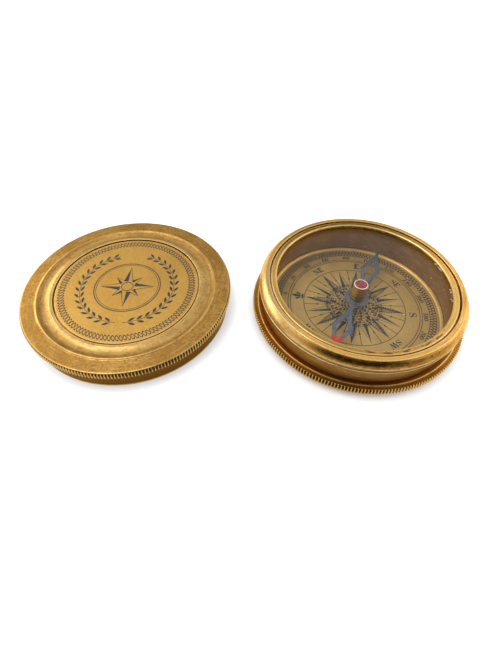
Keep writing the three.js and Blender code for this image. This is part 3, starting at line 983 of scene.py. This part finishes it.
# Ornaments of the dial, as distances out from its middle and off to one side
LILY_MIDDLE = (19.6, 23.5, 0.68)  # from, to and half the width
LILY_PETAL = ((20.0, 0.35), (21.1, 0.8), (21.9, 1.5), (21.4, 1.85), (20.7, 1.6), (19.9, 0.8))
LILY_BAR = ((18.9, 0.25), (19.6, 0.35), (19.5, 1.35), (18.9, 1.1))
LILY_STEM = (18.7, 19.8, 0.5)  # from, to and the width
MAIN_TIP = ((14.6, -0.5), (18.4, 0.0), (14.2, 0.95), (14.8, 0.2))
MAIN_STEM = (7.5, 14.9, HAIR)
MAIN_BUD = (6.2, 8.7, 0.6)
MAIN_LEAVES = 7
MAIN_LEAF_OUT = 13.6
MAIN_LEAF_STEP = 0.85
HALF_WIND = (9.3, 18.2, 1.45)  # root, tip and half the width
HATCHES = 5
HATCH_START = 0.7
HATCH_STEP = 1.1
HATCH_SHARE = 0.9
QUARTER_ROOT = 9.6
QUARTER_BEAD = ((12.8, 0), (13.6, -0.36), (14.5, 0), (13.6, 0.36))
HEART_RINGS = (8.65, 9.25)
HEART_LEAVES = 26
HEART_LEAN = (-26, 32)
HEART_ROWS = ((2.9, 1.2, 0.2), (3.9, 1.4, 0.26), (5.1, 1.5, 0.3),  # out, length and half the width of a leaf
              (6.3, 1.6, 0.34), (7.5, 1.5, 0.36), (9.4, 1.4, 0.34))
HEART_CURL_OUT = 0.55


def dial_plate():
    corners = band(BUSH + DIAL_CLEARANCE, DIAL, FLOOR, DIAL_TOP, 0, 0, 0.08, 0.05)
    turned("dial_plate", corners, DIAL_BRASS, "case", "dial_print", "dial")


def dial_scale(ink):
    for r in (ROSE, DOUBLE_RING, DOUBLE_RING + DOUBLE_GAP):
        ink.ring(r, RULE)
    for r in (SCALE_INNER, SCALE_MIDDLE, SCALE_OUTER):
        ink.ring(r, SCALE_RING)
    box = 360 / SCALE_BOXES
    for step in range(SCALE_BOXES):
        ink.line(NORTH - (step + 0.5) * box, SCALE_INNER, SCALE_MIDDLE, SCALE_BAR)
        ink.line(NORTH - step * box, SCALE_MIDDLE, SCALE_OUTER, SCALE_BAR)
    for degree in range(0, 360, NUMBER_STEP):
        ink.words(str(degree), NORTH - degree, NUMBER_RING, NUMBER_HEIGHT, NUMBER_STRETCH)
    for degree, letter in ((90, "E"), (180, "S"), (270, "W")):
        ink.words(letter, NORTH - degree, LETTER_RING, LETTER_HEIGHT, LETTER_STRETCH)
    for degree, letters in ((45, "NE"), (135, "SE"), (225, "SW"), (315, "NW")):
        ink.words(letters, NORTH - degree, LETTER_RING, SMALL_HEIGHT)


def north_mark(ink):
    """A lily at north: a pointed middle petal, two side petals, a bar and a stem."""
    ink.stamp(NORTH, leaf(*LILY_MIDDLE))
    for side in (-1, 1):
        for outline in (LILY_PETAL, LILY_BAR):
            ink.stamp(NORTH, [(out, off * side) for out, off in outline])
    ink.line(NORTH, *LILY_STEM)


def main_wind(ink, heading):
    """An ornate point: a solid tip on a stem, with heavier leaves on one side."""
    ink.stamp(heading, MAIN_TIP)
    ink.line(heading, *MAIN_STEM)
    for i in range(MAIN_LEAVES):
        out = MAIN_LEAF_OUT - MAIN_LEAF_STEP * i
        spread = 0.1 + 0.08 * i
        ink.sprig(heading, out, spread, 30, 1.4, 0.3 + 0.02 * i)
        ink.sprig(heading, out + 0.3, -spread, -34, 1.1, 0.2)
        ink.sprig(heading, out + 0.2, spread + 0.5, 64, 0.9, 0.2)
        ink.curl(heading, out, -spread - 0.7, 0.26)
    ink.stamp(heading, leaf(*MAIN_BUD))


def half_wind(ink, heading):
    """A point of the rose: one half solid, the other in outline with hatching."""
    root, tip, half = HALF_WIND
    ink.stamp(heading, [(root, 0.05), (tip, 0.0), (root, half)])
    ink.stamp(heading, [(root, -half), (tip, -0.02), (tip, 0.0), (root, -half + HAIR)])
    for i in range(HATCHES):
        out = root + HATCH_START + i * HATCH_STEP
        edge = -half * (tip - out) / (tip - root) * HATCH_SHARE
        ink.stamp(heading, [(out, edge), (out + 0.08, edge), (out + 0.5, -0.08), (out + 0.4, -0.08)])


def quarter_wind(ink, heading):
    ink.line(heading, QUARTER_ROOT, ROSE, HAIR)
    ink.stamp(heading, QUARTER_BEAD)


def rose_heart(ink):
    """Rings, leaves and curls crowded round the middle of the rose."""
    for r in HEART_RINGS:
        ink.ring(r, HAIR)
    step = 360 / HEART_LEAVES
    for i in range(HEART_LEAVES):
        heading = NORTH + step * i
        for row, (out, length, half) in enumerate(HEART_ROWS):
            ink.sprig(heading + step * row / 2, out, 0.0, HEART_LEAN[(i + row) % 2], length, half)
            ink.curl(heading + step * (row + 1) / 2, out + HEART_CURL_OUT, 0.0, 0.7 * half + 0.12)


def dial_print():
    ink = Print()
    dial_scale(ink)
    north_mark(ink)
    for i in range(8):
        main_wind(ink, NORTH + 45 * i)
        half_wind(ink, NORTH + 22.5 + 45 * i)
    for i in range(16):
        quarter_wind(ink, NORTH + 11.25 + 22.5 * i)
    rose_heart(ink)
    place(ink.mesh("dial_ink", DIAL_TOP), "dial_ink", DIAL_INK, "case", "dial_print")


# Needle, cap and jewel

HUB = 4.45
HUB_STEPS = 24
HUB_HOLE = 2.0
HUB_HOLE_STEPS = 40
NECK_END = 8.0
NECK_HALF = 0.95
LONG_CORNER = 16.4
SHORT_CORNER = 15.7
LOOP_HALF = 3.6
LONG_EDGE = [(NECK_END, NECK_HALF), (LONG_CORNER, LOOP_HALF), (24.5, 0.8), (NEEDLE_REACH, 0.28)]
SHORT_EDGE = [(NECK_END, NECK_HALF), (SHORT_CORNER, LOOP_HALF), (22.2, 1.15), (22.6, 0.35)]
WINDOW_HALF = 2.1
WINDOW_START = 9.6
LONG_WINDOW_END = 22.2
SHORT_WINDOW_END = 21.6
NEEDLE_BEVEL = 0.07
BEVEL_STEPS = 2


def arc(r, start, end, steps):
    angles = [start + (end - start) * i / steps for i in range(steps + 1)]
    return [(r * cos(angle), r * sin(angle)) for angle in angles]


def flat_curve(name, loops, low, high, bevel):
    """A flat plate with rounded edges, from an outer loop and the loops of its holes."""
    curve = bpy.data.curves.new(name, "CURVE")
    curve.dimensions = "2D"
    curve.fill_mode = "BOTH"
    curve.extrude = ((high - low) / 2 - bevel) * MM
    curve.bevel_depth = bevel * MM
    curve.bevel_resolution = BEVEL_STEPS
    curve.offset = -bevel * MM
    for loop in loops:
        spline = curve.splines.new("POLY")
        spline.points.add(len(loop) - 1)
        for point, (x, y) in zip(spline.points, loop):
            point.co = (x * MM, y * MM, 0, 1)
        spline.use_cyclic_u = True
    holder = bpy.data.objects.new(name, curve)
    mesh = bpy.data.meshes.new_from_object(holder)
    mesh.transform(Matrix.Translation((0, 0, (low + high) / 2 * MM)))
    bpy.data.objects.remove(holder)
    bpy.data.curves.remove(curve)
    return mesh


def window(start, corner, end):
    return [(start, 0), (corner, WINDOW_HALF), (end, 0), (corner, -WINDOW_HALF)]


def needle_blade():
    neck = asin(NECK_HALF / HUB)
    outline = arc(HUB, neck, pi - neck, HUB_STEPS)
    outline += [(-x, y) for x, y in SHORT_EDGE]
    outline += [(-x, -y) for x, y in reversed(SHORT_EDGE)]
    outline += arc(HUB, pi + neck, 2 * pi - neck, HUB_STEPS)
    outline += [(x, -y) for x, y in LONG_EDGE]
    outline += reversed(LONG_EDGE)
    long_window = window(WINDOW_START, LONG_CORNER, LONG_WINDOW_END)
    short_window = window(-WINDOW_START, -SHORT_CORNER, -SHORT_WINDOW_END)
    hole = arc(HUB_HOLE, 0, 2 * pi, HUB_HOLE_STEPS)[:-1]
    loops = [outline, long_window, short_window, hole]
    mesh = flat_curve("needle_blade", loops, NEEDLE_FOOT, NEEDLE_TOP, NEEDLE_BEVEL)
    place(mesh, "needle_blade", BLUED_STEEL, "needle", "blued_steel", "needle", turn=NEEDLE_HEADING)


CAP_BORE = 1.2
CAP_SPIGOT = 1.7
COLLAR_EDGE = 0.9
COLLAR_CHAMFER = 0.12
COLLAR_TOP = 1.0
CAP_TOP = 2.42
CAP_HEAD = 0.5
CAP_RIM = 0.03  # how far the rim is turned in over the jewel
CAP_RIM_HEIGHT = 0.18
CAP_REACH = 0.14
CONE = 1.0
CONE_DEPTH = 1.5


def needle_cap():
    low, high, cap_foot = foot("needle_cap"), top("needle_cap"), radius("needle_cap")
    size, jewel_foot = radius("cap_jewel"), foot("cap_jewel")
    jewel_top = high - CAP_RIM_HEIGHT
    cap = [
        (CAP_BORE, low, 0),
        (CAP_SPIGOT, low, 0.05),
        (CAP_SPIGOT, NEEDLE_TOP, 0),
        (cap_foot, NEEDLE_TOP, 0.08),
        (cap_foot, NEEDLE_TOP + COLLAR_EDGE, 0.12),
        (cap_foot - COLLAR_CHAMFER, NEEDLE_TOP + COLLAR_TOP, 0.05),
        (CAP_TOP, high - CAP_HEAD, 0.1),
        (CAP_TOP, high, 0.08),
        (size - CAP_RIM, high, 0.05),
        (size - CAP_RIM, jewel_top, 0),
        (size, jewel_top, 0),
        (size, jewel_foot, 0),
        (CAP_BORE, jewel_foot, 0),
    ]
    turned("cap", cap, CAP_BRASS, "needle", "cap_brass", "needle_cap",
           segments=SMALL_SEGMENTS, reach=CAP_REACH)
    jewel = [
        (0, jewel_foot + CONE_DEPTH, 0),
        (CONE, jewel_foot, 0),
        (size, jewel_foot, 0),
        (size, jewel_top, 0),
        (0, jewel_top, 0),
    ]
    turned("jewel", jewel, JEWEL_RED, "needle", "jewel_red", "cap_jewel", segments=SMALL_SEGMENTS)


# Lid

LID_KNURL_FOOT = 6.1
LID_KNURL_TOP = 8.45
LID_KNURL_BAND = 0.5
LID_FLAT = 8.75
LID_EDGE = 0.5  # from the knurl in to the flat
LID_EDGE_FALL = 0.15
LID_RIDGE = 31.7
RIDGE_FOOT = 0.55
RIDGE_OUTER = 0.1
RIDGE_INNER = 0.3
RIDGE_FALL = 0.05
LID_CREST = 27.2
CREST_FALL = 0.2  # below the top of the ridge
SEAM_FALL = 0.27
COVE_OUTER = LID_RIDGE - 0.4
COVE_FALL = 0.12
COVE_TILT = 0.1
COVE_SAG = 0.42
COVE_STEPS = 14
LID_SKIRT = 36.15
LID_BORE = 35.65
LID_ROOF = 6.95
LID_THREAD_TOP = 4.2
LID_THREAD_DEPTH = 0.16
LID_THREAD_TURNS = 6
LID_REACH = 0.42
PLAQUE_SEAT = 7.95
PLAQUE_TRIM = 0.15  # the plaque is drawn this much smaller, for a seam that shows
SEAM = 0.4


def lid_dish():
    """From the roof inside: down the thread, up the skirt, over knurl, ridge and cove to the plaque."""
    high = top("lid_shell")
    corners = [(0, LID_ROOF, 0), (LID_BORE, LID_ROOF, 0.3)]
    for turn in range(LID_THREAD_TURNS):
        ridge = LID_THREAD_TOP - turn * THREAD_PITCH
        corners.append((LID_BORE, ridge, 0.05))
        corners.append((LID_BORE + LID_THREAD_DEPTH, ridge - THREAD_PITCH / 2, 0.04))
    corners += [
        (LID_BORE, LID_THREAD_TOP - LID_THREAD_TURNS * THREAD_PITCH, 0.05),
        (LID_BORE, 0, 0.1),
        (LID_SKIRT, 0, 0.15),
        (LID_SKIRT, LID_KNURL_FOOT, 0.12),
        (RIM - KNURL_CHAMFER, LID_KNURL_FOOT, 0.05),
        (RIM, LID_KNURL_FOOT + KNURL_RISE, 0.1),
        (RIM, LID_KNURL_TOP - LID_EDGE_FALL, 0.12),
        (RIM - LID_EDGE, LID_FLAT, 0.3),
        (LID_RIDGE + RIDGE_FOOT, LID_FLAT, 0.2),
        (LID_RIDGE + RIDGE_OUTER, high, 0.18),
        (LID_RIDGE - RIDGE_INNER, high - RIDGE_FALL, 0.2),
    ]
    for step in range(1, COVE_STEPS):
        t = step / COVE_STEPS
        fall = COVE_FALL + COVE_TILT * t + COVE_SAG * 4 * t * (1 - t)
        corners.append((COVE_OUTER + (LID_CREST - COVE_OUTER) * t, high - fall, 0))
    corners += [
        (LID_CREST, high - CREST_FALL, 0.08),
        (PLAQUE + SEAM, high - SEAM_FALL, 0.08),
        (PLAQUE + SEAM, PLAQUE_SEAT, 0),
        (0, PLAQUE_SEAT, 0),
    ]
    turned("lid_dish", corners, LID_BRASS, "lid", "lid_brass", "lid_shell", LID_PLACE,
           knurl=(RIM, LID_KNURL_BAND), reach=LID_REACH)


def plaque():
    corners = band(0, PLAQUE - PLAQUE_TRIM, PLAQUE_SEAT, PLAQUE_TOP, 0, 0, 0.12, 0)
    turned("plaque", corners, PLAQUE_BRASS, "lid", "plaque_brass", "lid_plaque", LID_PLACE)


ROPE_RING = 23.4
ROPE_LINKS = 114
ROPE_STEPS = 7
ROPE_HALF = 1.25
ROPE_BORE = 0.66  # inside of a link, as a share of its outside
ROPE_ACROSS = 0.66
ROPE_THINNING = 0.1
ROPE_LEAN = 0.3
STAR_LONG = (9.6, 2.5, 1.75)  # reach, root and half the width of a point
STAR_SHORT = (6.6, 2.7, 1.2)
STAR_RINGS = ((11.2, 0.2, CIRCLE_STEPS), (11.9, 0.35, CIRCLE_STEPS), (2.1, 0.3, 48))
STAR_LINE = 0.22
WREATH_RING = 16.9
WREATH_LEAVES = 15
WREATH_STEP = 10.2  # degrees from leaf to leaf
WREATH_FIRST = 10  # degrees from the foot of the plaque
WREATH_STEM = 4
STEM_HALF = 0.09
WREATH_LEAF = (0.1, 2.9, 0.48)  # from, to and half the width
WREATH_LEAN = 0.495  # radians
WREATH_OFFSET = 0.25


def rope_link(ink, heading):
    """One link of the rope border: a leaning oval, drawn as a ribbon in two halves."""
    for side in (-1, 1):
        outer, inner = [], []
        for i in range(ROPE_STEPS + 1):
            angle = pi * i / ROPE_STEPS
            for rim, share in ((outer, 1.0), (inner, ROPE_BORE)):
                out = ROPE_HALF * share * cos(angle)
                across = ROPE_ACROSS * (share - ROPE_THINNING) * sin(angle) * side
                rim.append((ROPE_RING + out, across + ROPE_LEAN * out))
        ink.stamp(heading, outer + inner[::-1])


def star(ink):
    """An eight-pointed star in rings, each point half solid and half in outline."""
    for i in range(8):
        heading = 45 * i
        reach, root, half = STAR_SHORT if i % 2 else STAR_LONG
        wide = root + 0.2
        ink.stamp(heading, [(root, 0.06), (reach, 0.0), (wide, half)])
        ink.stamp(heading, [(wide, -half), (reach, -0.16), (reach, 0.0), (wide, -half + STAR_LINE)])
    for ring in STAR_RINGS:
        ink.ring(*ring)


def wreath(ink):
    """Two laurel branches that rise from the foot of the plaque."""
    for side in (-1, 1):
        for i in range(WREATH_LEAVES):
            heading = radians(-90 + side * (WREATH_FIRST + WREATH_STEP * i))
            for out in (1, -1):
                angle = heading + side * (pi / 2) - side * out * WREATH_LEAN
                root = spun([(WREATH_RING + WREATH_OFFSET * out, 0)], heading)[0]
                ink.shape(spun(leaf(*WREATH_LEAF), angle, root))
        start = radians(-90 + side * WREATH_STEM)
        end = start + side * radians(WREATH_STEP * (WREATH_LEAVES + 0.5))
        outer, inner = (arc(WREATH_RING + off, start, end, 2 * WREATH_LEAVES + 1)
                        for off in (STEM_HALF, -STEM_HALF))
        ink.shape(outer + inner[::-1])


def plaque_print():
    ink = Print()
    for i in range(ROPE_LINKS):
        rope_link(ink, 360 * i / ROPE_LINKS)
    star(ink)
    wreath(ink)
    place(ink.mesh("plaque_ink", PLAQUE_TOP), "plaque_ink", PLAQUE_INK, "lid", "plaque_brass", at=LID_PLACE)


# Dust on the pane and crumbs of cement at the ring

DUST_SPECKS = 44
DUST_SIZES = (0.12, 0.16, 0.22, 0.3)
DUST_REACH = 29.0
DUST_FLATNESS = 0.5
CRUMBS = 36
CRUMB_SIZES = (0.15, 0.4)
CRUMB_SPREAD = 0.5
CRUMB_FLATNESS = 0.8
CRUMB_HEADINGS = ((9, 18), (-20, -8))
SPECK_AXES = ((1, 0, 0), (-1, 0, 0), (0, 1, 0), (0, -1, 0), (0, 0, 1), (0, 0, -1))
SPECK_ROUGHNESS = (0.6, 1.2)


def speck(points, faces, centre, size, flatness):
    """A small lump: an octahedron with its corners pushed about."""
    first = len(points)
    for x, y, z in SPECK_AXES:
        reach = size * chance.uniform(*SPECK_ROUGHNESS)
        points.append((centre[0] + x * reach, centre[1] + y * reach, centre[2] + z * reach * flatness))
    for a, b in ((0, 2), (2, 1), (1, 3), (3, 0)):
        faces.append((first + a, first + b, first + 4))
        faces.append((first + b, first + a, first + 5))


def lumps(name, specks, flatness, material, slot):
    """One mesh of specks on the pane, each a (radius, angle, height above the pane, size)."""
    points, faces = [], []
    for r, angle, rise, size in specks:
        speck(points, faces, (r * cos(angle), r * sin(angle), PANE_TOP + rise), size, flatness)
    mesh = solid(name, points, faces)
    mesh.shade_smooth()
    place(mesh, name, material, "case", slot)


def dust():
    specks = []
    for _ in range(DUST_SPECKS):
        r = DUST_REACH * sqrt(chance.random())
        angle = chance.uniform(0, 2 * pi)
        size = chance.choice(DUST_SIZES)
        specks.append((r, angle, size * 0.2, size))
    lumps("dust", specks, DUST_FLATNESS, DUST, "cement")


def crumbs():
    specks = []
    for _ in range(CRUMBS):
        start, end = chance.choice(CRUMB_HEADINGS)
        angle = radians(chance.uniform(start, end))
        r = RING_INNER - chance.uniform(0.0, CRUMB_SPREAD)
        size = chance.uniform(*CRUMB_SIZES)
        specks.append((r, angle, size * 0.5, size))
    lumps("crumbs", specks, CRUMB_FLATNESS, CEMENT, "cement")


# Stage

FLOOR_SIZE = 20000.0
FLOOR_DROP = 0.02
FLOOR_PAINT = (0.6, 0.6, 0.6)
FLOOR_GLOW = 0.8
# The floor's glow fades near the object: a painted contact shadow
PAINTED_SHADOW_REACH = 6.0  # the glow fades within this distance of the object
PAINTED_SHADOW_SAMPLES = 12
ROOM = 0.55
ROOM_LOBES = (((-0.85, 0.4, 0.35), 0.3), ((0.85, 0.35, 0.3), 0.5), ((0, 0, 1), 0.3))  # left, right and above
ROOM_LOBE_EDGE = (0.4, 0.95)
CARD_WIDTH = 460.0
CARD_HEIGHT = 240.0
CARD_PLACE = (-30, -245, 163)
SOFTBOXES = (  # name, place, size and brightness
    ("key", (-593, 322, 219), 400, 2.5),
    ("high", (-340, -10, 563), 420, 2.0),
    ("side", (600, 30, 240), 240, 2.4),
    ("low", (-640, 110, 110), 200, 2.4),
)


def flat_sheet(name, width, height, material):
    """A rectangle on the stage, round its own middle."""
    x, y = width / 2, height / 2
    mesh = solid(name, [(-x, -y, 0), (x, -y, 0), (x, y, 0), (-x, y, 0)], [(0, 1, 2, 3)])
    mesh.materials.append(material)
    sheet = add_object(name, mesh)
    return sheet


def face_object(holder, place_mm):
    aim = (cad_low + cad_high) / 2
    holder.location = Vector(place_mm) * MM
    holder.rotation_euler = (aim - holder.location).to_track_quat("-Z", "Y").to_euler()


def floor():
    """A floor that camera, metal and glass see as white, apart from a painted shadow where its glow fades
    near the object and the shadows lamps cast on its paint.
    """
    s = Surface("floor")
    s.set(Base_Color=FLOOR_PAINT, Roughness=0.9, Specular_IOR_Level=0.0)
    path = s.node("LightPath")
    seen = s.maths("MAXIMUM", path["Is Glossy Ray"], path["Is Transmission Ray"])
    seen = s.maths("MAXIMUM", path["Is Camera Ray"], seen)
    # Ambient occlusion dims the glow near the object: a painted contact shadow
    painted_shadow = s.node("AmbientOcclusion", {"Distance": PAINTED_SHADOW_REACH * MM}, samples=PAINTED_SHADOW_SAMPLES)
    glow = s.times(painted_shadow["AO"], FLOOR_GLOW)
    s.set(Emission_Color=(1, 1, 1), Emission_Strength=s.times(seen, glow))
    flat_sheet("floor", FLOOR_SIZE, FLOOR_SIZE, s.material).location.z = -FLOOR_DROP * MM


def world():
    """A pale room, brighter at both sides and above."""
    made = bpy.data.worlds.new("studio")
    bpy.context.scene.world = made
    made.use_nodes = True
    room = Nodes(made.node_tree, "Generated")
    level = ROOM
    for direction, glow in ROOM_LOBES:
        facing = room.vector("DOT_PRODUCT", room.point, Vector(direction).normalized())["Value"]
        lobe = room.between(facing, *ROOM_LOBE_EDGE)
        level = room.plus(level, room.times(lobe, glow))
    background = made.node_tree.nodes["Background"]
    room.feed(background.inputs["Strength"], level)
    room.feed(background.inputs["Color"], (1.0, 1.0, 1.0))


def dark_card():
    """A black card behind the camera, which shows only as a dark line in bright metal."""
    s = Surface("dark_card")
    s.set(Base_Color=s.mix(s.noise(4.0), (0.012, 0.012, 0.012), (0.02, 0.02, 0.02)), Roughness=0.9)
    card = flat_sheet("dark_card", CARD_WIDTH, CARD_HEIGHT, s.material)
    card.visible_camera = False
    face_object(card, CARD_PLACE)


def softbox(name, place_mm, size, strength):
    """A square lamp turned to the object, of this brightness, where 1 is white."""
    light = bpy.data.lights.new(name, "AREA")
    light.shape = "SQUARE"
    light.size = size * MM
    light.energy = strength * pi * light.size ** 2
    face_object(add_object(name, light), place_mm)


def camera():
    data = bpy.data.cameras.new("camera")
    data.sensor_width = SENSOR
    data.lens = FOCAL_PIXELS * SENSOR / IMAGE_HEIGHT
    data.shift_x = (IMAGE_WIDTH / 2 - PRINCIPAL_X) / IMAGE_HEIGHT
    data.shift_y = (PRINCIPAL_Y - IMAGE_HEIGHT / 2) / IMAGE_HEIGHT
    data.clip_start = CAMERA_CLIP * MM
    holder = add_object("camera", data)
    holder.location = Vector(CAMERA_PLACE) * MM
    holder.rotation_euler = (pi / 2 - CAMERA_PITCH, 0, 0)
    bpy.context.scene.camera = holder


bpy.context.scene.view_settings.view_transform = "Standard"
camera()
floor()
world()
dark_card()
for lamp in SOFTBOXES:
    softbox(*lamp)
for build in (base, wall, bezel, glazing, sleeve, pivot, dial_plate, dial_print, needle_blade, needle_cap,
              lid_dish, plaque, plaque_print, dust, crumbs):
    build()
